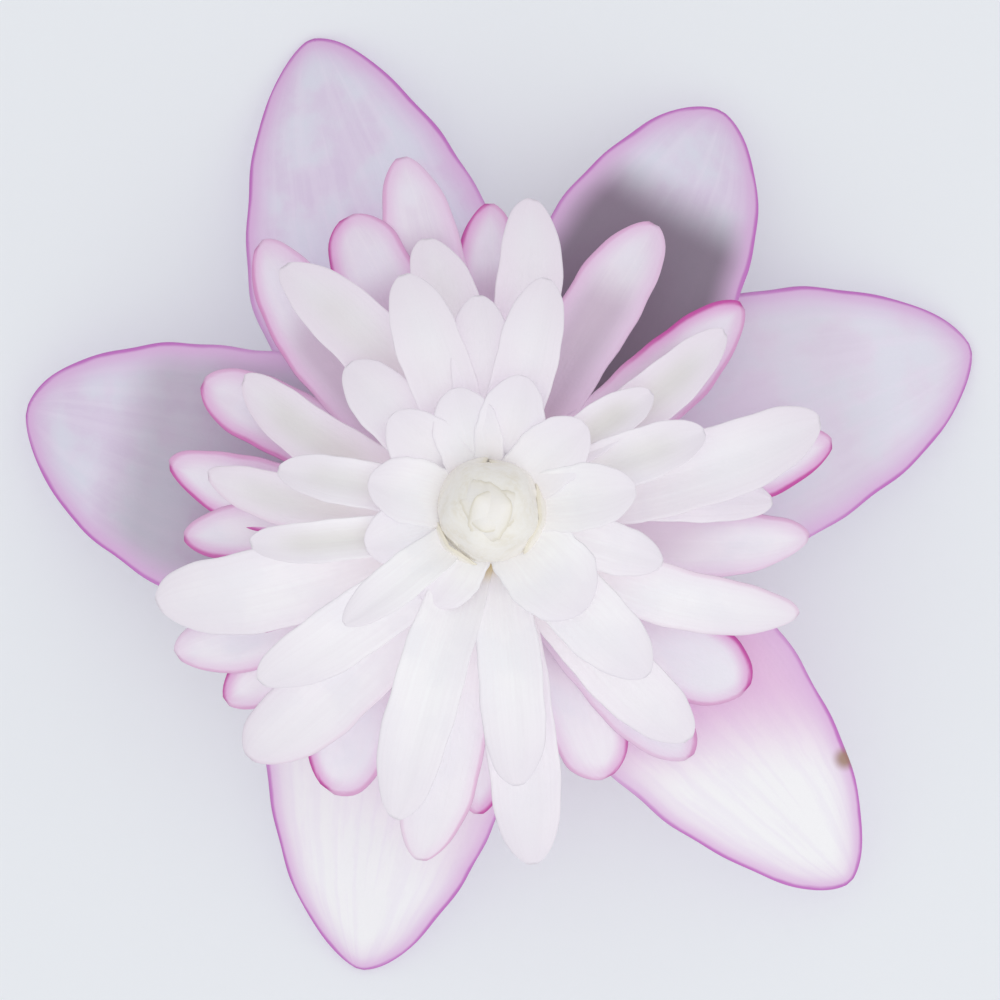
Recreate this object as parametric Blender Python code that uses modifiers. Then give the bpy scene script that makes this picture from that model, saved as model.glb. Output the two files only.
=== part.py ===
"""A double hepatica bloom, picked with a stub of stem and laid face up on its tepal tips.

Six broad tepals arch out and down to the surface, and three of them stand on their tips.
Over them fifty-five narrow petaloids rise in four whorls from a domed receptacle, round a
tight cream knot. Three green bracts and the cut stem are underneath, clear of the surface.
Every blade is one formula: a midline that is an arc of a circle, a half width that swells
and rounds off along it, and a cupped cross-section.
"""

import math

import bmesh
import bpy
import numpy as np

MM = 0.001

# The axis of the bloom, and the height of each floor of it, in metres above the surface
BLOOM_AXIS = (-0.45 * MM, -0.25 * MM)
STEM_FOOT = 1.2 * MM
BRACT_ROOT = 3.0 * MM
LOW_TEPAL_ROOT = 4.05 * MM
HIGH_TEPAL_ROOT = 5.0 * MM
STEM_TOP = 5.1 * MM
RECEPTACLE_PROFILE = [
    (0, 8.7 * MM), (1.6 * MM, 8.5 * MM), (2.2 * MM, 7.8 * MM), (2.5 * MM, 6.8 * MM),
    (2.5 * MM, 6.0 * MM), (1.9 * MM, 5.4 * MM), (0, 5.4 * MM),
]

# Every blade: thickness, how its end rounds off to a narrow tip, how rows crowd to the tip, how
# late the cup turns from its root value to its tip value, and the steepest fall it may have
BLADE_THICKNESS = 0.6 * MM
END_ROUNDING = 0.6
TIP_SHARE = 0.14
ROW_CROWDING = 1.4
CUP_DELAY = 1.5
STEEPEST_FALL = -80.0

# Tepals: azimuth in degrees from +X, reach, half width and sideways bow in millimetres, and
# how full the outer half is
LOW_TEPALS = {
    "tepal_1": (110.9, 21.3, 5.5, 0.8, 1.45),
    "tepal_3": (18.6, 21.5, 5.5, 0.0, 1.45),
    "tepal_5": (254.2, 20.2, 5.4, -1.2, 1.45),
}
HIGH_TEPALS = {
    "tepal_2": (59.8, 19.5, 4.5, -0.4, 2.1),
    "tepal_4": (314.1, 21.9, 4.7, 0.55, 1.45),
    "tepal_6": (167.8, 20.0, 5.5, 0.9, 1.7),
}
TEPAL_ROOT_RADIUS = 1.4 * MM
TEPAL_RISE = 9
LOW_TEPAL_CUP = -0.05
HIGH_TEPAL_CUP = 0.05
TEPAL_ROOT_SHARE = 0.22
TEPAL_WIDEST = 0.46
TEPAL_GRID = (10, 4)
LIFT_OF_HIGH_TIPS = 1.1 * MM

# Petaloids, lowest whorl first: azimuth of the tip in degrees, reach and half width in
# millimetres, degrees that the tip has turned from the root's bearing, how full the outer half
# is, and the cup at the tip
OUTER_PETALOIDS = [
    (294, 12.3, 1.7, -3, 4.0, -0.05), (309, 13.4, 1.5, 5, 3.4, -0.05),
    (325, 13.2, 1.9, 6, 3.6, 0.0), (355, 13.5, 1.45, 10, 2.4, -0.05), (11, 14.7, 1.55, 5, 2.6, 0.0),
    (39, 13.7, 1.65, 6, 2.0, 0.15), (60, 13.9, 1.6, -3, 2.8, 0.15), (90, 12.9, 1.5, 0, 2.3, 0.05),
    (104, 15.3, 1.6, 0, 2.6, 0.05), (116, 13.7, 1.7, 0, 4.5, 0.0), (131, 14.8, 1.7, -10, 3.0, 0.1),
    (156, 13.2, 1.5, -2, 3.5, 0.1), (172, 13.6, 1.6, -12, 2.4, 0.15),
    (185, 12.9, 1.25, 0, 3.0, 0.05), (205, 14.5, 1.55, -11, 3.5, -0.05),
    (216, 13.7, 1.5, 0, 3.0, 0.0), (240, 13.6, 1.9, 9, 4.5, 0.0), (268, 12.8, 1.4, 0, 2.5, 0.0),
]
MIDDLE_PETALOIDS = [
    (277, 15.0, 1.5, -2, 3.4, -0.15), (259, 15.0, 1.6, -2, 2.8, -0.05),
    (226, 14.5, 1.75, -7, 3.6, -0.15), (196, 14.5, 1.8, -9, 3.6, -0.1),
    (173, 11.9, 1.15, -12, 2.6, 0.3), (152, 11.7, 1.25, -14, 3.0, 0.35),
    (130, 13.4, 1.5, 10, 2.4, 0.25), (103, 11.7, 1.4, 5, 2.8, 0.2), (82, 13.2, 1.4, 6, 3.2, 0.0),
    (37, 12.4, 1.15, 6, 2.4, 0.35), (15, 14.4, 1.6, 9, 3.0, 0.05), (2, 11.9, 1.2, -7, 2.8, -0.05),
    (341, 13.7, 1.35, 14, 2.8, -0.12), (311, 12.8, 1.45, 6, 3.2, -0.1),
]
UPPER_PETALOIDS = [
    (276, 11.6, 1.35, -3, 3.4, -0.2), (253, 13.5, 1.45, 5, 3.0, -0.1),
    (217, 12.0, 1.4, -9, 2.8, -0.05), (188, 10.1, 0.9, -8, 3.4, 0.35), (169, 9.0, 1.0, 1, 2.6, 0.3),
    (134, 8.5, 1.35, 0, 2.6, 0.1), (110, 10.5, 1.4, 0, 2.6, 0.1), (93, 9.0, 1.3, 0, 2.6, 0.05),
    (76, 10.0, 1.3, 0, 2.6, 0.05), (36, 8.4, 1.0, -3, 2.4, 0.4), (20, 9.6, 1.15, 0, 2.6, 0.3),
    (343, 7.6, 1.1, 0, 2.4, -0.1), (314, 9.6, 1.5, 2, 2.4, -0.15),
]
INNER_PETALOIDS = [
    (322, 6.2, 1.5, 0, 2.0, -0.1), (237, 4.7, 1.3, 0, 2.4, -0.1), (218, 7.7, 0.95, 0, 2.2, 0.0),
    (196, 5.4, 1.4, 0, 2.4, 0.1), (166, 5.0, 1.4, 0, 2.4, 0.1), (136, 5.5, 1.4, 0, 2.4, 0.1),
    (106, 5.0, 1.4, 0, 2.4, 0.1), (76, 5.5, 1.4, 0, 2.4, 0.1), (42, 5.0, 1.4, 0, 2.4, 0.1),
    (8, 6.0, 1.4, 0, 2.4, 0.1),
]
# Each whorl: its petaloids, root radius and height, and slope at root and tip in degrees
WHORLS = [
    (OUTER_PETALOIDS, 1.7 * MM, 6.2 * MM, 14, -16),
    (MIDDLE_PETALOIDS, 1.4 * MM, 6.9 * MM, 28, -26),
    (UPPER_PETALOIDS, 1.1 * MM, 7.5 * MM, 46, -22),
    (INNER_PETALOIDS, 1.3 * MM, 8.1 * MM, 62, 10),
]
PETALOID_CUP = 0.22
PETALOID_ROOT_SHARE = 0.62
PETALOID_WIDEST = 0.62
PETALOID_GRID = (7, 2)
LIFT_SPREAD = 0.2 * MM
SEED = 5

# The knot at the centre: furled segments that lean one way as they curl over a small core
KNOT_SEGMENTS = 6
KNOT_BASE = 9.8 * MM
KNOT_RADIUS = 0.75 * MM
KNOT_SEGMENT_LENGTH = 2.5 * MM
KNOT_SEGMENT_HALF_WIDTH = 0.9 * MM
KNOT_SEGMENT_BOW = 0.5 * MM
KNOT_SLOPES = (40, 165)
KNOT_CUP = 0.3
KNOT_SHAPE = (0.42, 0.66, 2.3)
KNOT_CORE = (0.95 * MM, 1.2 * MM)
KNOT_GRID = (5, 2)

# The bracts and the stub of stem under the bloom
BRACT_AZIMUTHS = (88, 208, 328)
BRACT_LENGTH = 8.2 * MM
BRACT_HALF_WIDTH = 2.6 * MM
BRACT_SLOPES = (4, -16)
BRACT_CUP = 0.06
BRACT_SHAPE = (0.35, 0.45, 1.7)
BRACT_GRID = (7, 4)
STEM_RADIUS = 0.8 * MM
STEM_NECK_RADIUS = 1.05 * MM
STEM_NECK_FOOT = 2.2 * MM


def clear_scene():
    """Remove whatever the file opened with."""
    for obj in list(bpy.data.objects):
        bpy.data.objects.remove(obj, do_unlink=True)


def new_collection(name):
    """A collection linked to the scene."""
    made = bpy.data.collections.new(name)
    bpy.context.scene.collection.children.link(made)
    return made


def material(name, colour, roughness):
    """A plain Principled material: the part's own colour, no metal."""
    made = bpy.data.materials.new(name)
    made.use_nodes = True
    shader = made.node_tree.nodes["Principled BSDF"]
    shader.inputs["Base Color"].default_value = (*colour, 1.0)
    shader.inputs["Roughness"].default_value = roughness
    shader.inputs["Metallic"].default_value = 0.0
    return made


def arc_length(root_radius, reach, rise, fall):
    """Length of an arc that turns evenly from slope rise to slope fall and reaches out so far."""
    rise, fall = math.radians(rise), math.radians(fall)
    return (reach - root_radius) * (fall - rise) / (math.sin(fall) - math.sin(rise))


def fall_for_drop(root_radius, reach, rise, drop):
    """Slope at the tip of a blade whose lower face ends so far below its root, by halving."""
    gentle, steep = -rise, STEEPEST_FALL
    for _ in range(40):
        fall = (gentle + steep) / 2
        length = arc_length(root_radius, reach, rise, fall)
        slopes = math.radians(rise), math.radians(fall)
        sunk = length * (math.cos(slopes[1]) - math.cos(slopes[0])) / (slopes[1] - slopes[0])
        sunk += BLADE_THICKNESS * math.cos(slopes[1])
        gentle, steep = (gentle, fall) if sunk > drop else (fall, steep)
    return fall


def width_share(u, root_share, widest, fullness):
    """Half width along a blade: a sine swell from the root to the widest place, then an oval end."""
    swell = root_share + (1 - root_share) * np.sin(np.pi / 2 * np.minimum(u / widest, 1))
    past = np.clip((u - widest) / (1 - widest), 0, 1)
    return np.where(u < widest, swell, np.maximum((1 - past**fullness) ** END_ROUNDING, TIP_SHARE))


def blade_points(u, v, root, length, slopes, half_width, cups, shape, bow=0.0, sweep=0.0):
    """Points of a blade along +X: an arc for the midline, with width, cup, sideways bow and sweep.

    The cup goes from its value at the root to its value at the tip.
    """
    radius, height = root
    rise, fall = (math.radians(slope) for slope in slopes)
    slope = rise + (fall - rise) * u
    out = radius + length * (np.sin(slope) - math.sin(rise)) / (fall - rise)
    up = height - length * (np.cos(slope) - math.cos(rise)) / (fall - rise)
    wide = half_width * width_share(u, *shape)
    bulge = (cups[0] + (cups[1] - cups[0]) * u**CUP_DELAY) * wide * v**2
    across = wide * v + bow * np.sin(np.pi * u) + sweep * u**2
    return out - bulge * np.sin(slope), across, up + bulge * np.cos(slope)


def blade(name, azimuth, grid, **form):
    """A grid bent into a blade of the given form, turned to its azimuth and thickened.

    The grid is split into triangles before it gets its thickness, so both faces are alike.
    """
    bm = bmesh.new()
    bmesh.ops.create_grid(bm, x_segments=grid[0], y_segments=grid[1], size=1.0)
    bmesh.ops.triangulate(bm, faces=bm.faces)
    flat = np.array([vert.co[:2] for vert in bm.verts])
    u = 1 - (1 - (flat[:, 0] + 1) / 2) ** ROW_CROWDING
    for vert, place in zip(bm.verts, np.column_stack(blade_points(u, flat[:, 1], **form))):
        vert.co = place
    mesh = bpy.data.meshes.new(name)
    bm.to_mesh(mesh)
    bm.free()
    mesh.shade_smooth()
    obj = bpy.data.objects.new(name, mesh)
    obj.location = (*BLOOM_AXIS, 0)
    obj.rotation_euler = (0, 0, math.radians(azimuth))
    wall = obj.modifiers.new("thickness", "SOLIDIFY")
    wall.thickness = BLADE_THICKNESS
    wall.offset = -1
    return obj


def turned(name, profile, sides):
    """A solid of revolution about the bloom's axis, from a profile of (radius, height) points."""
    mesh = bpy.data.meshes.new(name)
    edges = [(i, i + 1) for i in range(len(profile) - 1)]
    mesh.from_pydata([(r, 0, z) for r, z in profile], edges, [])
    obj = bpy.data.objects.new(name, mesh)
    obj.location = (*BLOOM_AXIS, 0)
    screw = obj.modifiers.new("turn", "SCREW")
    screw.steps = screw.render_steps = sides
    screw.use_merge_vertices = True
    screw.merge_threshold = 0.00001
    screw.use_smooth_shade = True
    return obj


def drop_sealed_and_loose(bm):
    """Keep only the biggest closed skin: pockets that fusing sealed are filled, scraps removed."""
    unseen, skins = set(bm.faces), []
    while unseen:
        front, skin = [unseen.pop()], []
        while front:
            face = front.pop()
            skin.append(face)
            beside = {near for edge in face.edges for near in edge.link_faces} & unseen
            unseen -= beside
            front.extend(beside)
        skins.append(skin)
    skins.sort(key=len)
    spare = [face for skin in skins[:-1] for face in skin]
    bmesh.ops.delete(bm, geom=spare, context="FACES")


def fuse(core, blades):
    """Union a core with its blades into one plain mesh object, and remove what went into it."""
    group = bpy.data.collections.new(core.name + "_blades")
    bpy.context.scene.collection.children.link(group)
    for obj in blades:
        group.objects.link(obj)
    union = core.modifiers.new("union", "BOOLEAN")
    union.operation = "UNION"
    union.operand_type = "COLLECTION"
    union.collection = group
    bpy.context.view_layer.update()
    ready = core.evaluated_get(bpy.context.evaluated_depsgraph_get())
    mesh = bpy.data.meshes.new_from_object(ready)
    core.modifiers.clear()
    bm = bmesh.new()
    bm.from_mesh(mesh)
    drop_sealed_and_loose(bm)
    bm.to_mesh(mesh)
    bm.free()
    core.data = mesh
    for obj in blades:
        bpy.data.objects.remove(obj, do_unlink=True)
    bpy.data.collections.remove(group)


def make_tepals(bloom):
    """Six tepals: three low ones that stand on their tips, and three high ones lapped over them."""
    finish = material("tepal_lavender", (0.68, 0.62, 0.79), 0.55)
    rows = [
        (LOW_TEPALS, LOW_TEPAL_ROOT, 0.0, LOW_TEPAL_CUP),
        (HIGH_TEPALS, HIGH_TEPAL_ROOT, LIFT_OF_HIGH_TIPS, HIGH_TEPAL_CUP),
    ]
    for tepals, root_height, tip_height, cup in rows:
        for name, (azimuth, reach, half_width, bow, fullness) in tepals.items():
            fall = fall_for_drop(TEPAL_ROOT_RADIUS, reach * MM, TEPAL_RISE, root_height - tip_height)
            length = arc_length(TEPAL_ROOT_RADIUS, reach * MM, TEPAL_RISE, fall)
            obj = blade(
                name, azimuth, TEPAL_GRID, root=(TEPAL_ROOT_RADIUS, root_height), length=length,
                slopes=(TEPAL_RISE, fall), half_width=half_width * MM, cups=(cup, cup), bow=bow * MM,
                shape=(TEPAL_ROOT_SHARE, TEPAL_WIDEST, fullness))
            obj.data.materials.append(finish)
            bloom.objects.link(obj)


def make_petaloids(bloom):
    """The receptacle and the four whorls of petaloids on it, fused into one solid."""
    finish = material("petaloid_white", (0.9, 0.88, 0.9), 0.55)
    core = turned("petaloids", RECEPTACLE_PROFILE, 16)
    bloom.objects.link(core)
    core.data.materials.append(finish)
    draws = np.random.default_rng(SEED)
    blades = []
    for whorl, root_radius, root_height, rise, fall in WHORLS:
        lifts = draws.uniform(-LIFT_SPREAD, LIFT_SPREAD, len(whorl))
        for (azimuth, reach, half_width, bend, fullness, tip_cup), lift in zip(whorl, lifts):
            straight_reach = reach * MM * math.cos(math.radians(bend))
            blades.append(blade(
                f"petaloid_{len(blades)}", azimuth - bend, PETALOID_GRID,
                root=(root_radius, root_height + lift), slopes=(rise, fall),
                length=arc_length(root_radius, straight_reach, rise, fall),
                half_width=half_width * MM, cups=(PETALOID_CUP, tip_cup),
                shape=(PETALOID_ROOT_SHARE, PETALOID_WIDEST, fullness),
                sweep=reach * MM * math.sin(math.radians(bend))))
    fuse(core, blades)
    core.data.materials.clear()
    core.data.materials.append(finish)


def make_centre_knot(bloom):
    """The cream knot: furled segments that curl over a small core, fused with it."""
    bpy.ops.mesh.primitive_uv_sphere_add(segments=10, ring_count=6)
    core = bpy.context.object
    core.name = "centre_knot"
    core.scale = (KNOT_CORE[0], KNOT_CORE[0], KNOT_CORE[1])
    core.location = (*BLOOM_AXIS, KNOT_BASE + KNOT_CORE[1])
    for holder in list(core.users_collection):
        holder.objects.unlink(core)
    bloom.objects.link(core)
    blades = [
        blade(
            f"segment_{i}", 360 * i / KNOT_SEGMENTS, KNOT_GRID, root=(KNOT_RADIUS, KNOT_BASE),
            length=KNOT_SEGMENT_LENGTH, slopes=KNOT_SLOPES, half_width=KNOT_SEGMENT_HALF_WIDTH,
            cups=(KNOT_CUP, KNOT_CUP), bow=KNOT_SEGMENT_BOW, shape=KNOT_SHAPE)
        for i in range(KNOT_SEGMENTS)
    ]
    fuse(core, blades)
    core.data.materials.clear()
    core.data.materials.append(material("knot_cream", (0.86, 0.83, 0.7), 0.5))


def make_bracts(bloom):
    """Three green bracts in a ring close under the tepals."""
    finish = material("bract_green", (0.12, 0.2, 0.05), 0.6)
    for number, azimuth in enumerate(BRACT_AZIMUTHS, 1):
        obj = blade(
            f"bract_{number}", azimuth, BRACT_GRID, root=(TEPAL_ROOT_RADIUS, BRACT_ROOT),
            length=BRACT_LENGTH, slopes=BRACT_SLOPES, half_width=BRACT_HALF_WIDTH,
            cups=(BRACT_CUP, BRACT_CUP), shape=BRACT_SHAPE)
        obj.data.materials.append(finish)
        bloom.objects.link(obj)


def make_stem(bloom):
    """The stub of the stem, cut square below the bracts and flared where it meets the bloom."""
    profile = [
        (0, STEM_TOP), (STEM_NECK_RADIUS, STEM_TOP), (STEM_NECK_RADIUS, BRACT_ROOT),
        (STEM_RADIUS, STEM_NECK_FOOT), (STEM_RADIUS, STEM_FOOT), (0, STEM_FOOT),
    ]
    stem = turned("stem", profile, 14)
    stem.data.materials.append(material("stem_green", (0.25, 0.16, 0.1), 0.6))
    bloom.objects.link(stem)


def main():
    """Build the bloom from its tepals inwards, then what carries it."""
    clear_scene()
    bloom = new_collection("hepatica_flower")
    make_tepals(bloom)
    make_petaloids(bloom)
    make_centre_knot(bloom)
    make_bracts(bloom)
    make_stem(bloom)


main()
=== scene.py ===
"""The looks of a double hepatica bloom, laid face up on a pale table."""

import bpy
import numpy as np
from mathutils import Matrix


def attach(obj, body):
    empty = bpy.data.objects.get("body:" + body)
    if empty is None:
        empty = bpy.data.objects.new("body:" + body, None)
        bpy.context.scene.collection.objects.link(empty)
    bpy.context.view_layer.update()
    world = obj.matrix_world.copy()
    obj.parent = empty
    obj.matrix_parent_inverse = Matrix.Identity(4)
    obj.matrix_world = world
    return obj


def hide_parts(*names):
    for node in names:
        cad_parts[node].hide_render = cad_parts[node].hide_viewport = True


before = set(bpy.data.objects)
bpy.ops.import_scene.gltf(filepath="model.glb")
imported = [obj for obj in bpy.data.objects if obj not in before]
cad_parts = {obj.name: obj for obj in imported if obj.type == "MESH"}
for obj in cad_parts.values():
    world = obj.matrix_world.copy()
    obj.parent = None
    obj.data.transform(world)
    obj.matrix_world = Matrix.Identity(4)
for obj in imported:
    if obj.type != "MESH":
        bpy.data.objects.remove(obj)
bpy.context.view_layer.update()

# The six tepals
# The showy outer leaves of the flower: thin satiny blades, lavender with a pinker margin and a
# magenta rim. Their claws grow from the neck of the stem, and they arch out and droop to the
# table: three low ones stand on their tips, and three high ones lap over them.
MM = 0.001
BLOOM_AXIS = np.array((-0.45, -0.25))
TEPAL_CLAW_RADIUS = 1.0
TEPAL_RISE = 9
STEEPEST_FALL, HALVINGS = -80.0, 40
# azimuth in degrees, reach, half width and sideways bow in millimetres, fullness of the outer
# half, and from 0 to 1 how strong the stain at its root is, which is painted mauve-grey shade
# where the tepal is not bleached and a pink blush where it is, and how white it is bleached
LOW_TEPALS = {
    "tepal_1": (110.9, 21.3, 5.5, 0.8, 1.45, 0.0, 0.1),
    "tepal_3": (18.6, 21.5, 5.5, 0.0, 1.7, 0.15, 0.35),
    "tepal_5": (254.2, 20.2, 5.4, -1.2, 1.5, 0.3, 0.9),
}
HIGH_TEPALS = {
    "tepal_2": (59.8, 19.5, 4.5, -0.4, 2.1, 1.0, 0.1),
    "tepal_4": (314.1, 21.9, 4.7, 0.55, 1.65, 0.7, 1.0),
    "tepal_6": (167.8, 20.0, 5.5, 0.9, 1.8, 0.45, 0.1),
}
LOW_TEPAL_FORM = {"root_height": 4.05, "tip_height": 0.3, "cup": -0.05}
HIGH_TEPAL_FORM = {"root_height": 5.0, "tip_height": 1.4, "cup": 0.05}
TEPAL_TRAITS = {
    "root_share": 0.22, "widest": 0.46, "thickness": 0.26, "uneven": 0.012, "ripple": 0.12,
    "groove": 0.06, "ribs": 5.0, "rib": 0.03, "sweep": 0.0, "rim": 1.0, "rim_side": 0.0,
    "tint": 0.9, "cool": 0.6, "painted_hollow_shade": 0.0,
}


# How blades are shaped: the power that rounds their tips, the power that crowds the rings of
# points towards the tip, the groove's half width as a share of the blade's, the ripples and the
# two kinds of small bays along a margin, and how much thinner the blade is at the tip
TIP_ROUNDING, TIP_CROWDING, GROOVE_WIDTH = 0.6, 1.4, 0.25
RIPPLES, LONG_BAYS, SHORT_BAYS, SHORT_BAY_SHARE = 1.7, 3.2, 7.3, 0.6
ROOT_THICKNESS_SHARE, TIP_THINNING = 1.25, 0.7


def arc_length(root_radius, reach, rise, fall):
    """Length of an arc that turns evenly from slope rise to slope fall and reaches out so far."""
    rise, fall = np.radians(rise), np.radians(fall)
    return (reach - root_radius) * (fall - rise) / (np.sin(fall) - np.sin(rise))


def fall_for_drop(root_radius, reach, rise, drop):
    """Slope at the tip of an arc that ends so far below its root, found by halving.

    A steeper end sinks further, so each try replaces the steeper or the gentler limit.
    """
    gentle, steep = -rise, STEEPEST_FALL
    for _ in range(HALVINGS):
        fall = (gentle + steep) / 2
        length = arc_length(root_radius, reach, rise, fall)
        first, last = np.radians(rise), np.radians(fall)
        sunk = length * (np.cos(last) - np.cos(first)) / (last - first)
        gentle, steep = (gentle, fall) if sunk > drop else (fall, steep)
    return fall


def smooth_step(value, start, end):
    """0 before start, 1 past end, and between them the share times itself times 3 less twice it."""
    share = np.clip((value - start) / (end - start), 0, 1)
    return share**2 * (3 - 2 * share)


def width_share(u, root_share, widest, fullness):
    """Half width along a blade: a sine swell from the root to the widest place, then an oval end."""
    swell = root_share + (1 - root_share) * np.sin(np.pi / 2 * np.minimum(u / widest, 1))
    past = np.clip((u - widest) / (1 - widest), 0, 1)
    return np.where(u < widest, swell, (1 - past**fullness) ** TIP_ROUNDING)


def blade_surface(form, rows, around):
    """Closed thin blades, all at once: points, and for each point the facts of its place.

    The midline is an arc of a circle in an upright plane: its slope turns evenly from rise at the
    root to fall at the tip. Round it runs a flat oval section, whose half width follows
    width_share, a little uneven along the margin, and whose thickness is laid off below. Along
    the section's normal are added the cup, as the square of the distance across, a twist that
    grows to the tip, ripples along the margins, a groove down the middle and fine ribs. The facts
    are how far along and across a point is, as shares, and its distance to the margin.
    """
    f = {key: np.asarray(value, float)[:, None, None] for key, value in form.items()}
    u = (1 - (1 - np.linspace(0, 1, rows + 2)[1:-1]) ** TIP_CROWDING)[None, :, None]
    turn = (np.arange(around) * 2 * np.pi / around)[None, None, :]
    v, side = np.cos(turn), np.sign(np.sin(turn)) * np.abs(np.sin(turn)) ** 0.5
    rise, fall = np.radians(f["rise"]), np.radians(f["fall"])
    slope = rise + (fall - rise) * u
    out = f["root_radius"] + f["length"] * (np.sin(slope) - np.sin(rise)) / (fall - rise)
    up = f["root_height"] - f["length"] * (np.cos(slope) - np.cos(rise)) / (fall - rise)
    draw = 2 * np.pi * f["draw"]
    uneven = np.sin(2 * np.pi * LONG_BAYS * u + draw)
    uneven = uneven + SHORT_BAY_SHARE * np.sin(2 * np.pi * SHORT_BAYS * u + 5 * draw)
    wide = f["half_width"] * width_share(u, f["root_share"], f["widest"], f["fullness"])
    half = wide * (1 + f["uneven"] * uneven * np.sign(v))
    cup = f["cup"] + (f["tip_cup"] - f["cup"]) * u**1.5
    ripple = np.sin(2 * np.pi * RIPPLES * u + draw + np.pi * (v > 0)) * v**2
    rib = np.cos(np.pi * f["ribs"] * v + draw) * (1 - v**2)
    lift = (
        cup * wide * v**2
        + np.radians(f["twist"]) * u * wide * v
        + f["ripple"] * ripple * np.sin(np.pi * u)
        - f["groove"] * np.exp(-((v / GROOVE_WIDTH) ** 2)) * np.sin(np.pi * u) ** 0.5
        + f["rib"] * rib * np.sin(np.pi * u)
        - f["thickness"] * (ROOT_THICKNESS_SHARE - TIP_THINNING * u) * (1 - side) / 2
    )
    across = half * v + f["bow"] * np.sin(np.pi * u) + f["sweep"] * u**2
    x, y, z = np.broadcast_arrays(out - lift * np.sin(slope), across, up + lift * np.cos(slope))
    bearing = np.radians(f["azimuth"])
    east = BLOOM_AXIS[0] + x * np.cos(bearing) - y * np.sin(bearing)
    north = BLOOM_AXIS[1] + x * np.sin(bearing) + y * np.cos(bearing)
    rings = np.stack((east, north, z), -1)
    blades, each = len(rings), rows * around + 2
    poles = rings[:, (0, -1)].mean(2)
    points = np.concatenate((rings.reshape(blades, -1, 3), poles), 1).reshape(-1, 3) * MM
    rim_along, rim_wide = (np.swapaxes(part, 1, 2)[:, None] for part in (u, wide))
    aside, beyond = wide * np.abs(v), f["length"] * (1 - u)
    edge = np.hypot(f["length"][..., None] * (u[..., None] - rim_along), aside[..., None] - rim_wide)
    edge = np.minimum(edge.min(-1), np.hypot(np.maximum(aside - wide[:, -1:], 0), beyond))
    place = np.empty((3, blades, each))
    place[0] = np.append(np.repeat(u, around), (0, 1))
    place[1] = np.append(np.tile(v.ravel(), rows), (0, 0))
    place[2, :, :-2] = edge.reshape(blades, -1)
    place[2, :, -2:] = np.stack((edge[:, 0].mean(1), np.zeros(blades)), 1)
    return points, place.reshape(3, -1)


def tube_faces(tubes, rows, around):
    """Faces of closed tubes: quads between neighbouring rings, and a fan round a pole at each end."""
    each, last = rows * around + 2, (rows - 1) * around
    ring, spot = np.arange(rows - 1)[:, None] * around, np.arange(around)
    after = (spot + 1) % around
    quads = np.stack((ring + spot, ring + after, ring + after + around, ring + spot + around), -1)
    root_fan = np.stack((np.full(around, each - 2), after, spot), -1)
    tip_fan = np.stack((np.full(around, each - 1), last + spot, last + after), -1)
    shift = np.arange(tubes)[:, None, None] * each
    fans = np.concatenate((root_fan, tip_fan)) + shift
    return (quads.reshape(-1, 4) + shift).reshape(-1, 4), fans.reshape(-1, 3)


def add_mesh(name, points, quads, fans, finish, facts=()):
    """A smooth object at the origin from whole arrays, with named vectors for its material."""
    mesh = bpy.data.meshes.new(name)
    mesh.vertices.add(len(points))
    mesh.vertices.foreach_set("co", np.ravel(points))
    mesh.loops.add(quads.size + fans.size)
    mesh.loops.foreach_set("vertex_index", np.concatenate((quads.ravel(), fans.ravel())))
    mesh.polygons.add(len(quads) + len(fans))
    starts = np.concatenate((np.arange(len(quads)) * 4, quads.size + np.arange(len(fans)) * 3))
    mesh.polygons.foreach_set("loop_start", starts)
    mesh.update(calc_edges=True)
    mesh.shade_smooth()
    for fact, values in facts:
        mesh.attributes.new(fact, "FLOAT_VECTOR", "POINT").data.foreach_set("vector", np.ravel(values))
    mesh.materials.append(finish)
    made = bpy.data.objects.new(name, mesh)
    bpy.context.scene.collection.objects.link(made)
    return made


def add_blades(name, form, rows, around, finish):
    """One object of as many blades as the longest entry of the form, which may mix both kinds."""
    count = max(np.size(value) for value in form.values())
    form = {key: np.broadcast_to(value, count) for key, value in form.items()}
    points, place = blade_surface(form, rows, around)
    each = len(points) // count
    along, across, _ = place
    trait = {key: np.repeat(value, each) for key, value in form.items()}
    # Painted shade fills the hollow of the outer half, and the rim is strongest round the tip
    hollow_shade_share = trait["painted_hollow_shade"] * (1 - across**2) ** 1.5 * smooth_step(along, 0.25, 0.5)
    hollow_shade_share *= smooth_step(along, 1.0, 0.75)
    favoured = 0.4 + 0.6 * smooth_step(across * trait["rim_side"], -0.5, 0.3)
    rim = trait["rim"] * favoured * smooth_step(along, 0.3, 0.75)
    facts = (
        ("place", place.T),
        ("tone", np.stack((rim, trait["tint"], trait["stain_and_shade"]), -1)),
        ("mood", np.stack((trait["white"], trait["cool"], hollow_shade_share), -1)),
    )
    made = add_mesh(name, points, *tube_faces(count, rows, around), finish, facts)
    # Living petals are thin enough to let light through, so lamps cast no shadow from them
    made.visible_shadow = False
    return made


def linear(hex_colour):
    """An sRGB hex colour as linear RGBA: each channel is undone from the sRGB curve."""
    channels = np.array([int(hex_colour[i : i + 2], 16) / 255 for i in (1, 3, 5)])
    low, high = channels / 12.92, ((channels + 0.055) / 1.055) ** 2.4
    return (*np.where(channels <= 0.04045, low, high), 1.0)


def add(material, kind, settings=None, **sockets):
    """One node with its settings, and its sockets set, or linked where the value is an output.

    A socket goes by its name, with _ for a space, or by _ and its number.
    """
    made = material.node_tree.nodes.new(kind)
    for name, value in (settings or {}).items():
        setattr(made, name, value)
    for name, value in sockets.items():
        socket = made.inputs[int(name[1:]) if name[0] == "_" else name.replace("_", " ")]
        if isinstance(value, bpy.types.NodeSocket):
            material.node_tree.links.new(value, socket)
        else:
            socket.default_value = value
    return made


def bare_material(name):
    """A new material with an empty node tree."""
    made = bpy.data.materials.new(name)
    made.use_nodes = True
    made.node_tree.nodes.clear()
    return made


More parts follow.
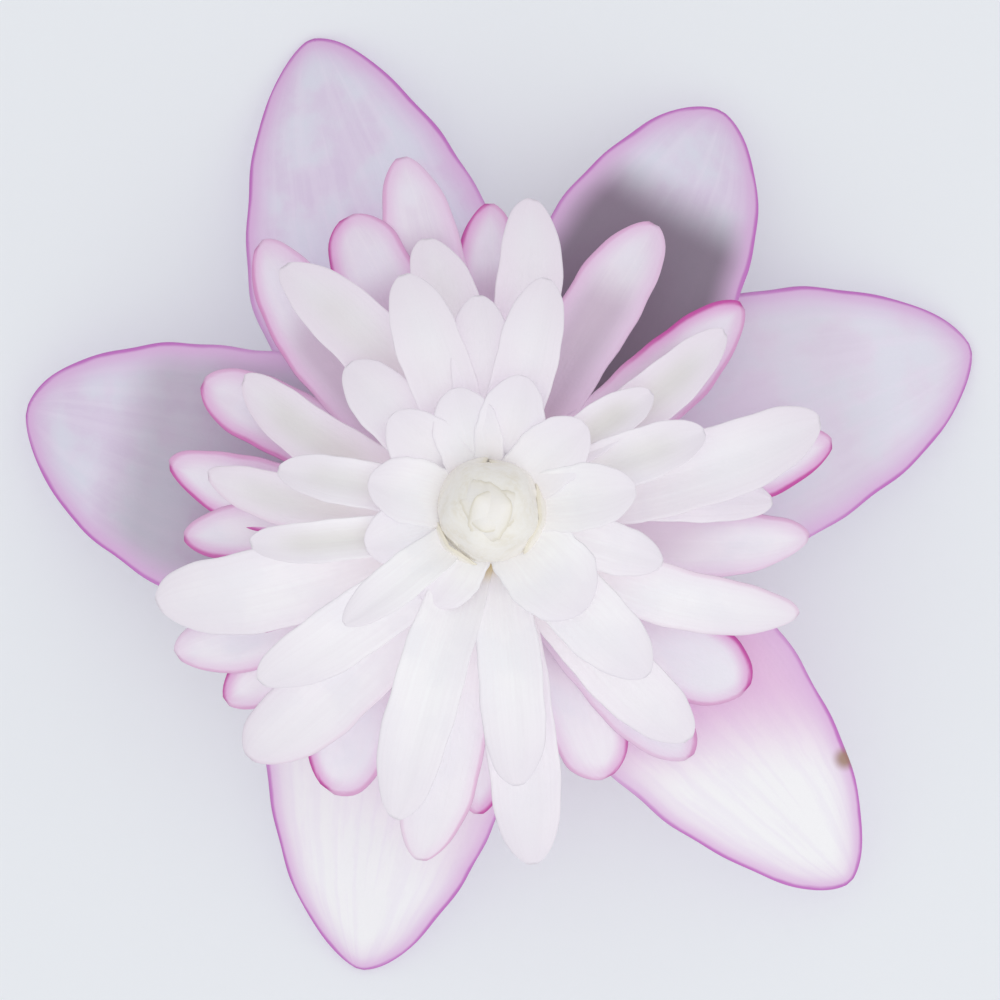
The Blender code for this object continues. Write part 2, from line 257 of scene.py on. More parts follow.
def petal_skin(name, colours, rim_width, margin_width, stain_and_shade_reach, claw_reach, fade=0.0, nick=None):
    """Living petal: a satin skin over pale wet cells, smooth but never glossy.

    It shows watery blotches, fine lengthways veins, a pinker margin that fades inwards, a stain
    over the root part, which is a pink blush where the petal is bleached and elsewhere a deeper
    stain colour, painted olive shade in its hollows, and at the very edge a rim of deep colour.
    Towards the tip the deep colour takes over by fade, partly as the petal's own colour and
    partly as painted shade where the light falls off. Widths are millimetres, and reaches are
    shares of the blade. A nick, by its place and radius, is a brown spot in a dried margin.
    """
    made = bare_material(name)
    place, tone, mood = (
        add(made, "ShaderNodeSeparateXYZ", Vector=add(
            made, "ShaderNodeAttribute", {"attribute_name": fact}).outputs["Vector"]).outputs
        for fact in ("place", "tone", "mood"))
    along, across, edge = place
    rim, tint, stain_and_shade = tone
    white, cool, hollow_shade_share = mood
    spot = add(made, "ShaderNodeTexCoord").outputs["Object"]
    # Watery blotches about 2.5 mm wide, and veins that run the length of the blade, about ten from
    # its middle to each margin, which is coarser than life on the broad blades
    blotch = add(made, "ShaderNodeTexNoise", Vector=spot, Scale=1 / (2.5 * MM), Detail=4.0).outputs[0]
    streak = add(made, "ShaderNodeCombineXYZ", X=along, Y=across, Z=blotch).outputs[0]
    streak = add(made, "ShaderNodeMapping", Vector=streak, Scale=(1.5, 10.0, 2.0)).outputs[0]
    vein = add(made, "ShaderNodeTexNoise", Vector=streak, Scale=1.0, Detail=4.0).outputs[0]
    ragged = add(made, "ShaderNodeMath", {"operation": "MULTIPLY_ADD"},
                 _0=blotch, _1=-rim_width, _2=edge).outputs[0]
    # On a bleached petal the stain is a pink blush, further out on its left side, and on the
    # others it is the deeper stain colour, which is painted shade on the tepals and petaloids and a
    # reddish stain on the bracts
    white_stain = add(made, "ShaderNodeMath", {"operation": "MULTIPLY"}, _0=white, _1=stain_and_shade).outputs[0]
    dark_stain_and_shade = add(made, "ShaderNodeMath", {"operation": "SUBTRACT"},
                     _0=stain_and_shade, _1=white_stain).outputs[0]
    blushed = add(made, "ShaderNodeMath", {"operation": "MULTIPLY_ADD"},
                  _0=across, _1=-0.15, _2=along).outputs[0]
    # Layers of colour: what each goes by, where it starts, where it is full, and how strong it is
    layers = (
        ("deep", blotch, 0.65, 0.35, 1.0),
        ("white", white, 0.0, 1.0, 1.0),
        ("cool", blotch, 0.4, 0.62, cool),
        ("vein", vein, 0.42, 0.62, 0.3),
        # Darker towards the tip: partly the petal's own colour, partly painted shade where light falls
        # off
        ("deep", along, 0.4, 1.0, fade),
        ("blush", blushed, stain_and_shade_reach - 0.1, stain_and_shade_reach - 0.35, white_stain),
        # Painted shade over the root part, where the stain is not a blush
        ("stain_and_shade", along, stain_and_shade_reach, stain_and_shade_reach - 0.15, dark_stain_and_shade),
        ("margin", edge, margin_width, 0.0, tint),
        ("claw", along, claw_reach, claw_reach - 0.08, 0.9),
        # Painted olive shade in the hollows
        ("painted_hollow_shade", hollow_shade_share, 0.0, 1.0, 1.0),
        ("glow", edge, 3.5 * rim_width, 0.0, rim),
        ("rim", ragged, 0.6 * rim_width, -0.1 * rim_width, rim),
    )
    if nick:
        east, north, radius = np.array(nick) * MM
        away = add(made, "ShaderNodeMapping", Vector=spot, Location=(-east, -north, 0),
                   Scale=(1, 1, 0)).outputs[0]
        away = add(made, "ShaderNodeVectorMath", {"operation": "LENGTH"}, _0=away).outputs["Value"]
        layers += (("nick", away, radius, 0.2 * radius, 0.85),)
    body = linear(colours["body"])
    for colour, value, start, full, strength in layers:
        share = add(made, "ShaderNodeMapRange", {"interpolation_type": "SMOOTHSTEP"}, Value=value,
                    From_Min=start, From_Max=full, To_Max=strength).outputs[0]
        body = add(made, "ShaderNodeMix", {"data_type": "RGBA"}, _0=share, _6=body,
                   _7=linear(colours[colour])).outputs[2]
    sheen = add(made, "ShaderNodeMapRange", Value=blotch, To_Min=0.38, To_Max=0.62).outputs[0]
    # Cells of the skin, drawn at 0.15 mm, coarser than life, and veins that stand a little proud
    cells = add(made, "ShaderNodeTexVoronoi", Vector=spot, Scale=1 / (0.15 * MM)).outputs[0]
    relief = add(made, "ShaderNodeMath", {"operation": "MULTIPLY_ADD"}, _0=cells, _1=0.2, _2=vein)
    bump = add(made, "ShaderNodeBump", Strength=0.3, Distance=0.06 * MM, Height=relief.outputs[0])
    shader = add(made, "ShaderNodeBsdfPrincipled", Base_Color=body, Roughness=sheen, IOR=1.4,
                 Sheen_Weight=0.1, Sheen_Roughness=0.5, Normal=bump.outputs[0])
    add(made, "ShaderNodeOutputMaterial", Surface=shader.outputs[0])
    return made


# A nick in the margin of tepal_4, dried brown: how far it is east and north of the origin, and
# its radius, in millimetres
NICK = (14.5, -10.7, 0.65)
# Wet cells scatter the light, so the tepals look lit from inside, under a broad soft sheen
# The mauve-grey stain is painted shade where petaloids overhang tepal_2 and tepal_6
tepal_skin = petal_skin(
    "tepal_lavender_satin",
    {"body": "#E4DEEB", "deep": "#DCCDE4", "white": "#F5F4F5", "cool": "#D9DCEA", "vein": "#EAE1F0",
     "blush": "#E0A9D8", "stain_and_shade": "#786678", "margin": "#DDBADF", "claw": "#C9CBA8",
     "painted_hollow_shade": "#B9B79B", "glow": "#DDB0DC", "rim": "#BE5CBB", "nick": "#9A7B58"},
    rim_width=0.2, margin_width=1.5, stain_and_shade_reach=0.82, claw_reach=0.25, nick=NICK)
TEPAL_SEED, TEPAL_TWIST = 11, 3
tepal_draws = np.random.default_rng(TEPAL_SEED)
for tepals, row in ((LOW_TEPALS, LOW_TEPAL_FORM), (HIGH_TEPALS, HIGH_TEPAL_FORM)):
    for name, (azimuth, reach, half_width, bow, fullness, stain_and_shade, white) in tepals.items():
        fall = fall_for_drop(
            TEPAL_CLAW_RADIUS, reach, TEPAL_RISE, row["root_height"] - row["tip_height"])
        form = TEPAL_TRAITS | {
            "azimuth": azimuth, "root_radius": TEPAL_CLAW_RADIUS, "root_height": row["root_height"],
            "length": arc_length(TEPAL_CLAW_RADIUS, reach, TEPAL_RISE, fall), "rise": TEPAL_RISE,
            "fall": fall, "half_width": half_width, "bow": bow, "fullness": fullness,
            "cup": row["cup"], "tip_cup": row["cup"],
            "twist": tepal_draws.uniform(-TEPAL_TWIST, TEPAL_TWIST),
            "draw": tepal_draws.uniform(), "stain_and_shade": stain_and_shade, "white": white,
            "cool": TEPAL_TRAITS["cool"] * (1 - white),
            "tint": TEPAL_TRAITS["tint"] * (1 - 0.4 * white),
        }
        tepal = add_blades(
            name.replace("_", "_blade_"), form, rows=80, around=56, finish=tepal_skin)
        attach(tepal, "root")
        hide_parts(name)

# The petaloids
# Stamens and carpels turned to narrow petals, in four whorls up a domed receptacle. They are as
# thin as the tepals and whiter, and the lowest ones keep a magenta rim round the tip.

# azimuth of the tip in degrees, reach and half width in millimetres, how many degrees the tip
# has turned from the root's bearing, fullness of the outer half, cup at the tip, and how strong
# the rim is, below 0 where its other side is the stronger one
OUTER_PETALOIDS = [
    (294, 12.3, 1.7, -3, 4.0, -0.05, 0.8), (309, 13.4, 1.5, 5, 3.4, -0.05, 0.5),
    (325, 13.2, 1.9, 6, 3.6, 0.0, 1.0), (355, 13.5, 1.45, 10, 2.4, -0.05, 0.3),
    (11, 14.7, 1.55, 5, 2.6, 0.0, -1.0), (39, 13.7, 1.65, 6, 2.0, 0.15, 1.0),
    (60, 13.9, 1.6, -3, 2.8, 0.15, 0.3), (90, 12.9, 1.5, 0, 2.3, 0.05, 0.9),
    (104, 15.3, 1.6, 0, 2.6, 0.05, 0.3), (116, 13.7, 1.7, 0, 4.5, 0.0, 0.9),
    (131, 14.8, 1.7, -10, 3.0, 0.1, 0.5), (156, 13.2, 1.5, -2, 3.5, 0.1, 0.7),
    (172, 13.6, 1.6, -12, 2.4, 0.15, 0.9), (185, 12.9, 1.25, 0, 3.0, 0.05, 0.8),
    (205, 14.5, 1.55, -11, 3.5, -0.05, 0.3), (216, 13.7, 1.5, 0, 3.0, 0.0, -0.9),
    (240, 13.6, 1.9, 9, 4.5, 0.0, -1.0), (268, 12.8, 1.4, 0, 2.5, 0.0, 1.0),
]
MIDDLE_PETALOIDS = [
    (277, 15.0, 1.5, -2, 3.4, -0.15, 0.0), (259, 15.0, 1.6, -2, 2.8, -0.05, 0.4),
    (226, 14.5, 1.75, -7, 3.6, -0.15, 0.1), (196, 14.5, 1.8, -9, 3.6, -0.1, 0.0),
    (173, 11.9, 1.15, -12, 2.6, 0.3, 0.1), (152, 11.7, 1.25, -14, 3.0, 0.35, 0.05),
    (130, 13.4, 1.5, 10, 2.4, 0.25, 0.0), (103, 11.7, 1.4, 5, 2.8, 0.2, 0.0),
    (82, 13.2, 1.4, 6, 3.2, 0.0, 0.0), (37, 12.4, 1.15, 6, 2.4, 0.35, 0.0),
    (15, 14.4, 1.6, 9, 3.0, 0.05, 0.0), (2, 11.9, 1.2, -7, 2.8, -0.05, 0.0),
    (341, 13.7, 1.35, 14, 2.8, -0.12, 0.2), (311, 12.8, 1.45, 6, 3.2, -0.1, 0.0),
]
UPPER_PETALOIDS = [
    (276, 11.6, 1.35, -3, 3.4, -0.2, 0.0), (253, 13.5, 1.45, 5, 3.0, -0.1, 0.0),
    (217, 12.0, 1.4, -9, 2.8, -0.05, 0.0), (188, 10.1, 0.9, -8, 3.4, 0.35, 0.0),
    (169, 9.0, 1.0, 1, 2.6, 0.3, 0.0), (134, 8.5, 1.35, 0, 2.6, 0.1, 0.0),
    (110, 10.5, 1.4, 0, 2.6, 0.1, 0.0), (93, 9.0, 1.3, 0, 2.6, 0.05, 0.0),
    (76, 10.0, 1.3, 0, 2.6, 0.05, 0.0), (36, 8.4, 1.0, -3, 2.4, 0.4, 0.0),
    (20, 9.6, 1.15, 0, 2.6, 0.3, 0.0), (343, 7.6, 1.1, 0, 2.4, -0.1, 0.0),
    (314, 9.6, 1.5, 2, 2.4, -0.15, 0.0),
]
INNER_PETALOIDS = [
    (314, 5.8, 1.85, 0, 2.2, -0.1, 0.0), (236, 4.7, 1.45, 0, 2.4, -0.1, 0.0),
    (218, 7.7, 0.95, 0, 2.2, 0.0, 0.0), (196, 5.4, 1.4, 0, 2.0, 0.1, 0.0),
    (166, 5.2, 1.4, 0, 1.9, 0.1, 0.0), (136, 5.7, 1.4, 0, 1.9, 0.1, 0.0),
    (106, 5.3, 1.4, 0, 1.9, 0.1, 0.0), (76, 5.8, 1.4, 0, 1.9, 0.1, 0.0),
    (42, 5.4, 1.4, 0, 1.9, 0.1, 0.0), (8, 6.2, 1.4, 0, 2.0, 0.1, 0.0),
]
# Each whorl: its petaloids, root radius and height, slope at root and tip, how deeply the roots
# are cupped, and how strongly pink tints it and painted mauve shade darkens the gaps at its roots
WHORLS = {
    "outer": (OUTER_PETALOIDS, 1.7, 6.2, 14, -16, 0.2, 0.9, 0.8),
    "middle": (MIDDLE_PETALOIDS, 1.4, 6.9, 28, -26, 0.36, 0.4, 0.4),
    "upper": (UPPER_PETALOIDS, 1.1, 7.5, 46, -22, 0.36, 0.2, 0.2),
    "inner": (INNER_PETALOIDS, 1.3, 8.1, 62, -5, 0.3, 0.1, 0.0),
}
PETALOID_TRAITS = {
    "root_share": 0.62, "widest": 0.62, "thickness": 0.24, "uneven": 0.02, "ripple": 0.06,
    "groove": 0.1, "ribs": 3.0, "rib": 0.015, "bow": 0.0, "cool": 0.3,
}
# How far roots stand above or below their whorl, in millimetres, how far blades are twisted, in
# degrees, and the bearing of the side painted darker lavender as shade, away from the key lamp
LIFT_SPREAD, TWIST_SPREAD, SHADED_SIDE_BEARING = 0.2, 8, 95
PETALOID_SEED = 5

# The same satin: nearly white in the three upper whorls, and in the lowest one lavender, with a
# soft magenta edge. The mauve at the roots and the olive in the hollows are painted shade, and
# the golden claws and the darkening towards the tips are partly their own colour and partly
# painted shade
petaloid_skin = petal_skin(
    "petaloid_white_satin",
    {"body": "#F5F1F5", "deep": "#EAE3EB", "white": "#FCFCFC", "cool": "#E6E6EE", "vein": "#F4F0F3",
     "blush": "#F3EAF1", "stain_and_shade": "#DCCBDA", "margin": "#EDDFEC", "claw": "#E2CFA0",
     "painted_hollow_shade": "#BFBDAC", "glow": "#EFCFE9", "rim": "#CB5BAB"},
    rim_width=0.2, margin_width=1.2, stain_and_shade_reach=0.7, claw_reach=0.2, fade=0.7)
petaloid_lavender_skin = petal_skin(
    "petaloid_lavender_satin",
    {"body": "#EFE6F0", "deep": "#E5DAE8", "white": "#F3EFF4", "cool": "#DDDFEB", "vein": "#EFE8F0",
     "blush": "#DFCFDD", "stain_and_shade": "#C9B2C8", "margin": "#E8D3E8", "claw": "#E2CFA0",
     "painted_hollow_shade": "#C3C1AE", "glow": "#DFA0D3", "rim": "#C652A4"},
    rim_width=0.22, margin_width=1.1, stain_and_shade_reach=0.8, claw_reach=0.2)
lift_draws = np.random.default_rng(PETALOID_SEED)
trait_draws = np.random.default_rng(PETALOID_SEED + 1)
for whorl, (petaloids, root_radius, root_height, rise, fall, cup, tint, stain_and_shade) in WHORLS.items():
    azimuth, reach, half_width, bend, fullness, tip_cup, rim = np.array(petaloids, float).T
    count = len(azimuth)
    # Petaloids on the upper side, away from the key lamp, are painted darker lavender with pinker
    # margins, partly their own tint and partly painted shade, and the others are left white
    shaded_side = np.clip(0.25 + np.cos(np.radians(azimuth - SHADED_SIDE_BEARING)), 0, 1)
    form = PETALOID_TRAITS | {
        "azimuth": azimuth - bend, "root_radius": root_radius,
        "root_height": root_height + lift_draws.uniform(-LIFT_SPREAD, LIFT_SPREAD, count),
        "length": arc_length(root_radius, reach * np.cos(np.radians(bend)), rise, fall),
        "rise": rise, "fall": fall, "half_width": half_width,
        "fullness": fullness, "cup": cup, "tip_cup": tip_cup,
        "twist": trait_draws.uniform(-TWIST_SPREAD, TWIST_SPREAD, count),
        "sweep": reach * np.sin(np.radians(bend)), "draw": trait_draws.uniform(0, 1, count),
        "rim": np.abs(rim), "rim_side": np.sign(rim), "tint": tint * (0.5 + 0.7 * shaded_side),
        "stain_and_shade": stain_and_shade, "white": 1 - shaded_side * (0.4 + 0.6 * tint),
        "painted_hollow_shade": 1.1 * np.clip(tip_cup, 0, 0.4),
    }
    skin = petaloid_lavender_skin if whorl == "outer" else petaloid_skin
    petals = add_blades(f"petaloids_{whorl}", form, rows=36, around=28, finish=skin)
    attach(petals, "root")
    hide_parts("petaloids")

# The receptacle
# The domed end of the flower stalk that all the petaloids are rooted in. It is firm golden flesh,
# pitted in spirals where the stalks stood close, and shows only in the deepest gaps.
RECEPTACLE_RADIUS = 2.5
RECEPTACLE_FOOT, RECEPTACLE_BROW, RECEPTACLE_TOP = 5.4, 6.4, 8.7
# Pits stand where a spiral of one hand crosses one of the other: how many spirals there are each
# way, the half turns that each makes from foot to top, and the depth as a share of the radius
PITS_AROUND, LEFT_HALF_TURNS, RIGHT_HALF_TURNS = 13, 9, 15
PIT_DEPTH = 0.08
FOOT_TAPER = 0.3


def turned_surface(radius, height, rows, around):
    """A closed form round the bloom's axis: points from a radius and a height for each ring.

    A point stands at radius * (cos turn, sin turn) from the axis. Radius and height are both
    arrays of rows by around, or rows by 1, and the end rings are closed round their middles.
    """
    turn = np.arange(around) * 2 * np.pi / around
    radius, height = (np.broadcast_to(part, (rows, around)) for part in (radius, height))
    east = BLOOM_AXIS[0] + radius * np.cos(turn)
    north = BLOOM_AXIS[1] + radius * np.sin(turn)
    rings = np.stack((east, north, height), -1)
    poles = rings[(0, -1), :].mean(1)
    return np.concatenate((rings.reshape(-1, 3), poles)) * MM


def living_flesh(name, colours, fine, coarse, roughness, depth):
    """Firm plant flesh: matt, mottled at one size, grained at a finer one, with soft relief.

    The colours are the ground's, the mottling's and the grain's, and the sizes and the relief's
    depth are millimetres.
    """
    made = bare_material(name)
    spot = add(made, "ShaderNodeTexCoord").outputs["Object"]
    mottle = add(made, "ShaderNodeTexNoise", Vector=spot, Scale=1 / (coarse * MM), Detail=3.0).outputs[0]
    grain = add(made, "ShaderNodeTexNoise", Vector=spot, Scale=1 / (fine * MM), Detail=3.0).outputs[0]
    body = linear(colours[0])
    for colour, value, strength in ((colours[1], mottle, 1.0), (colours[2], grain, 0.6)):
        share = add(made, "ShaderNodeMapRange", {"interpolation_type": "SMOOTHSTEP"}, Value=value,
                    From_Min=0.35, From_Max=0.65, To_Max=strength).outputs[0]
        body = add(made, "ShaderNodeMix", {"data_type": "RGBA"}, _0=share, _6=body,
                   _7=linear(colour)).outputs[2]
    bump = add(made, "ShaderNodeBump", Strength=0.5, Distance=depth * MM, Height=grain)
    shader = add(made, "ShaderNodeBsdfPrincipled", Base_Color=body, Roughness=roughness, IOR=1.4,
                 Normal=bump.outputs[0])
    add(made, "ShaderNodeOutputMaterial", Surface=shader.outputs[0])
    return made


# Golden and mottled, so that the deepest gaps glow warm instead of black
receptacle_flesh = living_flesh(
    "receptacle_golden_flesh", ("#E3CF9C", "#C9A56B", "#EFE2BC"),
    fine=0.2, coarse=1.2, roughness=0.6, depth=0.08)
rows, around = 40, 96
share = np.linspace(0.02, 0.99, rows)[:, None]
height = RECEPTACLE_FOOT + (RECEPTACLE_TOP - RECEPTACLE_FOOT) * share
below = np.clip((RECEPTACLE_BROW - height) / (RECEPTACLE_BROW - RECEPTACLE_FOOT), 0, 1)
above = np.clip((height - RECEPTACLE_BROW) / (RECEPTACLE_TOP - RECEPTACLE_BROW), 0, 1)
turn = np.arange(around) * 2 * np.pi / around
pits = np.cos(PITS_AROUND * turn + LEFT_HALF_TURNS * share * np.pi)
pits = pits * np.cos(PITS_AROUND * turn - RIGHT_HALF_TURNS * share * np.pi)
radius = RECEPTACLE_RADIUS * (1 - below**2.5 * FOOT_TAPER) * (1 - above**2.4) ** 0.5
points = turned_surface(radius - PIT_DEPTH * pits * radius, height, rows, around)
receptacle = add_mesh("receptacle", points, *tube_faces(1, rows, around), receptacle_flesh)
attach(receptacle, "root")
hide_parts("petaloids")

# The centre knot
# The last carpels, still furled, like a tight bud: cream scales that grow round the top of the
# receptacle over a firm core. Three close over the middle, and the rest lean against them.

# azimuth in degrees, root radius and height, length and half width in millimetres, slope at root
# and tip in degrees, and how deeply the scale is cupped
KNOT_SCALES = [
    (195, 1.2, 10.1, 3.8, 1.35, 76, 190, 0.5), (75, 1.15, 10.1, 3.6, 1.3, 76, 192, 0.5),
    (315, 1.15, 10.2, 3.5, 1.25, 74, 188, 0.5), (95, 1.7, 9.2, 2.3, 1.5, 85, 125, 0.47),
    (5, 1.8, 9.1, 2.3, 1.4, 85, 125, 0.45), (178, 1.9, 9.0, 2.3, 1.5, 85, 125, 0.45),
    (257, 2.0, 8.3, 2.1, 1.8, 82, 122, 0.46), (350, 2.25, 8.1, 1.9, 1.7, 80, 110, 0.4),
    (222, 2.3, 8.0, 1.9, 1.5, 78, 108, 0.38), (45, 2.05, 8.4, 2.0, 1.5, 82, 118, 0.42),
    (135, 2.1, 8.3, 2.0, 1.5, 82, 116, 0.42), (300, 2.0, 8.4, 1.9, 1.5, 80, 118, 0.42),
]
KNOT_TRAITS = {
    "root_share": 0.85, "widest": 0.4, "fullness": 3.0, "thickness": 0.2, "uneven": 0.03,
    "ripple": 0.05, "groove": 0.03, "ribs": 3.0, "rib": 0.01, "bow": 0.0, "sweep": 0.0,
    "twist": 0.0, "rim": 0.35, "rim_side": 0.0, "tint": 0.4, "cool": 0.1, "white": 0.4,
    "painted_hollow_shade": 0.0, "stain_and_shade": 0.0,
}
# Furled scales are cream and dull, with a faint straw edge that draws their swirl
knot_skin = petal_skin(
    "knot_cream_satin",
    {"body": "#F4F1EB", "deep": "#EEE9E1", "white": "#F8F6F2", "cool": "#ECEAEC", "vein": "#F5F2E8",
     "blush": "#EFE8DC", "stain_and_shade": "#E6DDC6", "margin": "#F0EADC", "claw": "#EAE2C8",
     "painted_hollow_shade": "#C9C7A6", "glow": "#F0EBDC", "rim": "#D9D0AC"},
    rim_width=0.12, margin_width=0.5, stain_and_shade_reach=0.4, claw_reach=0.1)
columns = ("azimuth", "root_radius", "root_height", "length", "half_width", "rise", "fall", "cup")
form = KNOT_TRAITS | dict(zip(columns, np.array(KNOT_SCALES, float).T))
form |= {"tip_cup": form["cup"], "draw": np.linspace(0, 1, len(KNOT_SCALES))}
knot = add_blades("centre_knot_scales", form, rows=36, around=32, finish=knot_skin)
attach(knot, "root")
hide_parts("centre_knot")

# The core is a blunt dome with shallow folds that wind up it
KNOT_CORE_RADIUS, KNOT_CORE_FOOT, KNOT_CORE_TOP = 2.1, 8.4, 12.2
CORE_FOLDS, FOLD_DEPTH, FOLD_WINDING = 5, 0.04, 4
rows, around = 24, 48
turn = np.arange(around) * 2 * np.pi / around
share = np.linspace(0.03, 0.99, rows)[:, None]
core_height = KNOT_CORE_FOOT + (KNOT_CORE_TOP - KNOT_CORE_FOOT) * share
core_folds = 1 + FOLD_DEPTH * np.cos(CORE_FOLDS * turn + FOLD_WINDING * share)
core_radius = KNOT_CORE_RADIUS * (1 - share**3) ** 0.5 * core_folds
points = turned_surface(core_radius, core_height, rows, around)
# Flesh of the same cream, with nothing to catch the eye where it shows between the scales
knot_flesh = living_flesh(
    "knot_cream_flesh", ("#F5F2EA", "#EFEADD", "#F8F6F1"),
    fine=0.2, coarse=0.8, roughness=0.6, depth=0.03)
knot_core = add_mesh("centre_knot_core", points, *tube_faces(1, rows, around), knot_flesh)
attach(knot_core, "root")
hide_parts("centre_knot")

# The three bracts
# Small green leaves close under the bloom, which look like a calyx. They are leathery, with
# silky hairs on the back and the margin, and grow from the stem just below the tepals.
BRACTS = {"bract_1": 88, "bract_2": 208, "bract_3": 328}
BRACT_FORM = {
    "root_radius": 1.4, "root_height": 3.0, "length": 8.2, "half_width": 2.6, "rise": 4,
    "fall": -16, "cup": 0.06, "tip_cup": 0.0, "root_share": 0.35, "widest": 0.45, "fullness": 1.7,
    "thickness": 0.35, "uneven": 0.015, "ripple": 0.06, "groove": 0.12, "ribs": 4.0, "rib": 0.03,
    "bow": 0.0, "sweep": 0.0, "twist": 2.0, "rim": 0.8, "rim_side": 0.0, "tint": 0.8,
    "stain_and_shade": 0.7, "white": 0.0, "cool": 0.4, "painted_hollow_shade": 0.0,
}
HAIR_LENGTH, HAIR_THICKNESS = 0.9, 0.045
HAIR_RINGS, HAIR_SIDES = 4, 3
# How far hairs stray from the normals, lean aside and droop, as shares of their length
HAIR_SPREAD, HAIR_LEAN, HAIR_DROOP = 0.25, 0.25, 0.35
HAIRS_ON_A_BRACT = 260


def hair_surface(roots, ways, lengths, thickness):
    """Tapered three-sided hairs: each leaves its root the way given and bends over, down its length.

    A ring at share s stands at root + length * (way * s + bend * s squared), and its radius
    shrinks with s. The bend is part weight, and part a sideways lean that differs for each hair.
    """
    s = np.linspace(0, 0.9, HAIR_RINGS)
    bend = np.roll(ways, 1, 1) * HAIR_LEAN - (0, 0, HAIR_DROOP)
    reach = lengths[:, None, None]
    spine = ways[:, None] * s[:, None] + bend[:, None] * s[:, None] ** 2
    spine = roots[:, None] + reach * spine
    tips = roots + lengths[:, None] * (ways + bend)
    # A slant direction gives each hair a sideways one, because hardly any hair follows it
    side = np.cross(ways, (0.3, 0.5, 0.81))
    side /= np.linalg.norm(side, axis=1, keepdims=True)
    other = np.cross(ways, side)
    turn = np.arange(HAIR_SIDES) * 2 * np.pi / HAIR_SIDES
    ring = side[:, None] * np.cos(turn)[:, None] + other[:, None] * np.sin(turn)[:, None]
    rings = spine[:, :, None] + ring[:, None] * (thickness / 2 * (1 - 0.8 * s))[:, None, None]
    count = len(roots)
    points = np.concatenate((rings.reshape(count, -1, 3), roots[:, None], tips[:, None]), 1)
    return points.reshape(-1, 3), *tube_faces(count, HAIR_RINGS, HAIR_SIDES)


def grow_hairs(name, piece, spots, count, seed, finish):
    """Hairs on a piece: they stand along its normals at vertices drawn from the given ones."""
    mesh, draws = piece.data, np.random.default_rng(seed)
    places, normals = np.empty((2, len(mesh.vertices), 3), np.float32)
    mesh.vertices.foreach_get("co", places.ravel())
    mesh.vertices.foreach_get("normal", normals.ravel())
    chosen = draws.choice(np.flatnonzero(spots), count, replace=False)
    ways = normals[chosen] + draws.normal(0, HAIR_SPREAD, (count, 3))
    ways /= np.linalg.norm(ways, axis=1, keepdims=True)
    lengths = HAIR_LENGTH * MM * draws.uniform(0.5, 1.1, count)
    points, quads, fans = hair_surface(places[chosen], ways, lengths, HAIR_THICKNESS * MM)
    hairs = add_mesh(name, points, quads, fans, finish)
    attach(hairs, "root")
    return hairs


# A leathery leaf: dull green with a paler grain and a reddish edge, seen past the tepals' claws
bract_skin = petal_skin(
    "bract_green_leather",
    {"body": "#7E9155", "deep": "#66794A", "white": "#A9B183", "cool": "#8C9C6E", "vein": "#A3B07A",
     "blush": "#A38A74", "stain_and_shade": "#A38A74", "margin": "#93705F", "claw": "#9C8A66",
     "painted_hollow_shade": "#6C7A44", "glow": "#8D6E62", "rim": "#7A4B55"},
    rim_width=0.16, margin_width=0.9, stain_and_shade_reach=0.6, claw_reach=0.2)
# Plant hairs have thin pale walls, which catch the light like silk
hair_silk = living_flesh(
    "plant_hair_silk", ("#E9E8DF", "#DAD9CC", "#F4F3EC"),
    fine=0.2, coarse=1.0, roughness=0.4, depth=0.0)
bract_rows, bract_around = 48, 40
for number, (name, azimuth) in enumerate(BRACTS.items()):
    bract = add_blades(f"{name}_leaf", BRACT_FORM | {"azimuth": azimuth, "draw": 0.3 * number},
                       bract_rows, bract_around, bract_skin)
    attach(bract, "root")
    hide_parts(name)
    # The back is the second half of each ring, and its hairs begin six rings out from the stem
    ring_spot = np.append(np.tile(np.arange(bract_around), bract_rows), (0, 0))
    backs = (ring_spot >= bract_around // 2) & (np.arange(len(ring_spot)) > 6 * bract_around)
    hairs = grow_hairs(f"{name}_hairs", bract, backs, HAIRS_ON_A_BRACT, number, hair_silk)
    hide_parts(name)

# The stem
# A short length of the flower stalk, as picked: a ridged, reddish green stalk with spreading
# hairs, swollen at the neck where bracts and tepals join, and cut off flat below.
STEM_RADIUS, STEM_NECK = 0.8, 1.05
STEM_FOOT, STEM_TOP = 1.2, 5.1
NECK_START, NECK_FULL = 2.0, 3.0
STEM_RIDGES, RIDGE_HEIGHT, RIDGE_WINDING = 7, 0.04, 0.6
HAIRS_ON_THE_STEM, STEM_HAIR_SEED = 240, 20

# A juicy stalk: green washed with red, a little shinier than the leaves
stem_flesh = living_flesh(
    "stem_reddish_flesh", ("#8E8F5C", "#A06A58", "#B4AC7C"),
    fine=0.25, coarse=1.6, roughness=0.5, depth=0.05)
rows, around = 48, 56
height = np.linspace(STEM_FOOT, STEM_TOP, rows)[:, None]
radius = STEM_RADIUS + (STEM_NECK - STEM_RADIUS) * smooth_step(height, NECK_START, NECK_FULL)
turn = np.arange(around) * 2 * np.pi / around
ridged = radius + RIDGE_HEIGHT * np.cos(STEM_RIDGES * turn + RIDGE_WINDING * height)
points = turned_surface(ridged, height, rows, around)
stem = add_mesh("stem_stalk", points, *tube_faces(1, rows, around), stem_flesh)
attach(stem, "root")
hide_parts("stem")
# The hairs stop just above the cut and where the bracts begin
above_cut = points[:, 2] > (STEM_FOOT + 0.1) * MM
bare_length = above_cut & (points[:, 2] < BRACT_FORM["root_height"] * MM)
stem_hairs = grow_hairs("stem_hairs", stem, bare_length, HAIRS_ON_THE_STEM, STEM_HAIR_SEED, hair_silk)
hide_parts("stem")

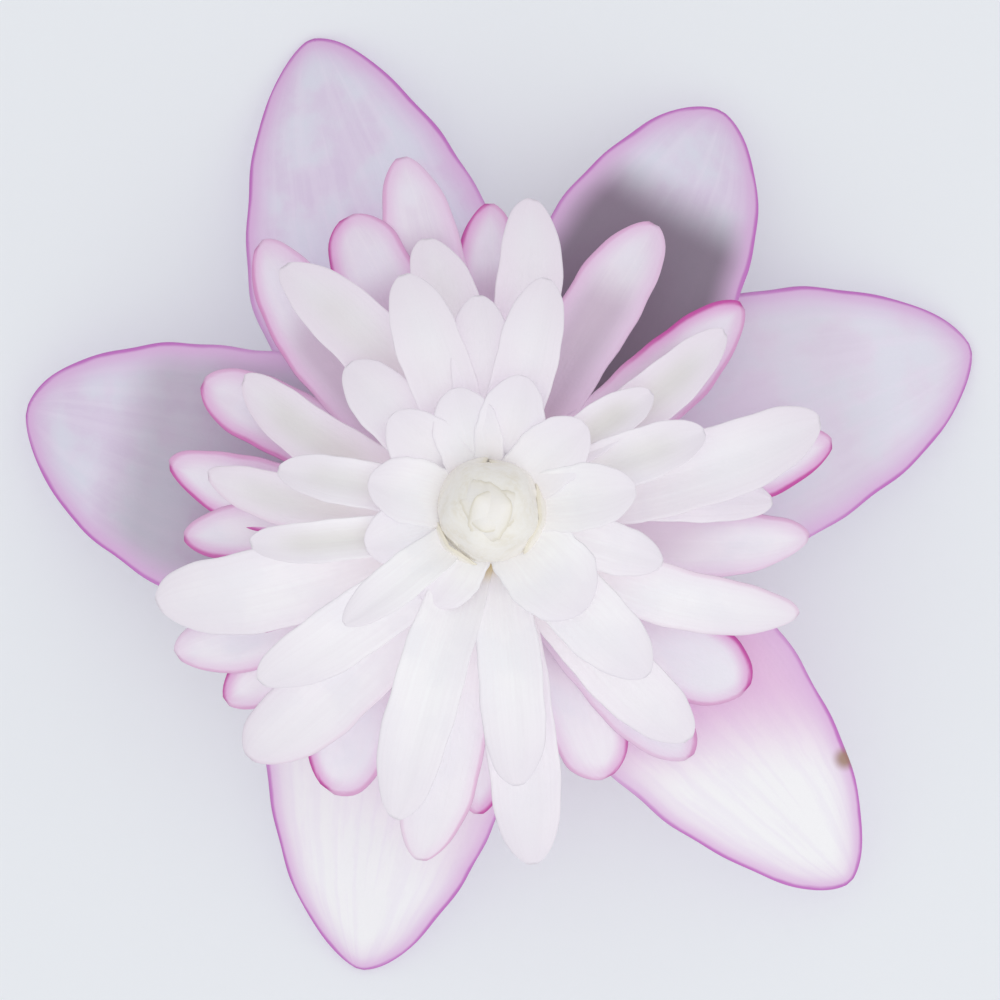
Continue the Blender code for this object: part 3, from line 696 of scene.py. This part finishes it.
# The floor, the light and the camera
# A plain pale tabletop, a broad soft lamp low down past the lower right of the face, another
# straight above it, and an even sky. The camera looks straight down on the face from far off.
bpy.ops.mesh.primitive_plane_add(size=3.0)
floor = bpy.context.object
floor.name = "floor"
# Matt paint: even and pale, with no gloss of its own
floor_paint = bare_material("tabletop_matt_paint")
floor_shader = add(floor_paint, "ShaderNodeBsdfPrincipled", Base_Color=linear("#ECEFF2"), Roughness=0.9)
add(floor_paint, "ShaderNodeOutputMaterial", Surface=floor_shader.outputs[0])
floor.data.materials.append(floor_paint)


def area_lamp(name, place, size, power):
    """A square lamp that faces the bloom from its place."""
    light = bpy.data.lights.new(name, "AREA")
    light.size, light.energy = size, power
    lamp = bpy.data.objects.new(name, light)
    lamp.location = place
    lamp.rotation_euler = (-lamp.location).to_track_quat("-Z", "Y").to_euler()
    bpy.context.scene.collection.objects.link(lamp)


area_lamp("key_lamp", (0.14, -0.24, 0.34), size=0.3, power=0.3)
area_lamp("top_lamp", (0, 0, 0.5), size=0.4, power=0.46)
world = bpy.data.worlds.new("studio")
world.use_nodes = True
sky = world.node_tree.nodes["Background"].inputs
sky["Color"].default_value = linear("#F6F7FA")
sky["Strength"].default_value = 0.74
bpy.context.scene.world = world
bpy.context.scene.view_settings.view_transform = "Standard"
# Light that bounces among the white petals is what brightens the gaps between them
bpy.context.scene.cycles.diffuse_bounces = 6

# The bloom is 40 mm and 946 pixels wide, and the photo's middle lies 4 pixels above the origin
PHOTO_PIXELS = 1000
PHOTO_SCALE = 40 / 946 * MM
PHOTO_MIDDLE = 4 * PHOTO_SCALE
CAMERA_HEIGHT = 0.6
camera_data = bpy.data.cameras.new("camera")
camera = bpy.data.objects.new("camera", camera_data)
camera.location = (0, PHOTO_MIDDLE, CAMERA_HEIGHT)
camera_data.sensor_width = 36
camera_data.lens = camera_data.sensor_width * CAMERA_HEIGHT / (PHOTO_PIXELS * PHOTO_SCALE)
bpy.context.scene.collection.objects.link(camera)
bpy.context.scene.camera = camera
